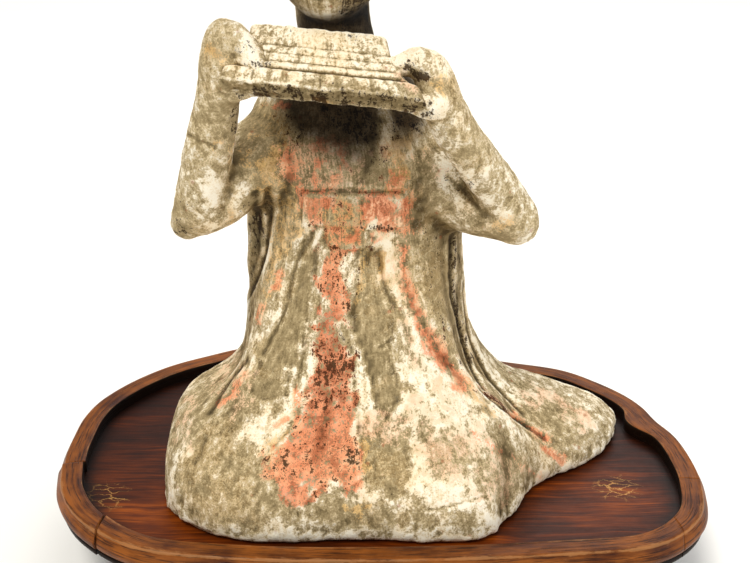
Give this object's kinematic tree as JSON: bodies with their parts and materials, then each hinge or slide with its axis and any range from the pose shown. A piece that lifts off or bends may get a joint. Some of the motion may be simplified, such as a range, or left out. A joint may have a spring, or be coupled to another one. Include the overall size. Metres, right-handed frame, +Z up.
{
  "type": "kneeling pottery musician figure on hardwood stand",
  "caption": "Kneeling robed pottery musician blowing a raft of pipes, resting in a lobed hardwood tray stand on bowed legs.",
  "frame": {"origin": "on the surface the feet stand on, under the middle of the whole object's bounding box", "axes": "+Z up; the figure faces -Y; +X is towards the figure's own left hand, the side of its trailing hem"},
  "size_m": [0.2843, 0.2083, 0.3031],
  "materials": {
    "pottery": null,
    "rim_wood": "waxed hardwood, worn satin",
    "board_wood": "polished dark red-brown hardwood",
    "dark_wood": "blackish carved hardwood, satin"
  },
  "bodies": {
    "root": {"musician": "pottery", "stand_rim_left": "rim_wood", "stand_rim_front": "rim_wood", "stand_rim_right": "rim_wood", "stand_rim_back": "rim_wood", "stand_board": "board_wood", "stand_underframe": "dark_wood"}
  },
  "joints": []
}
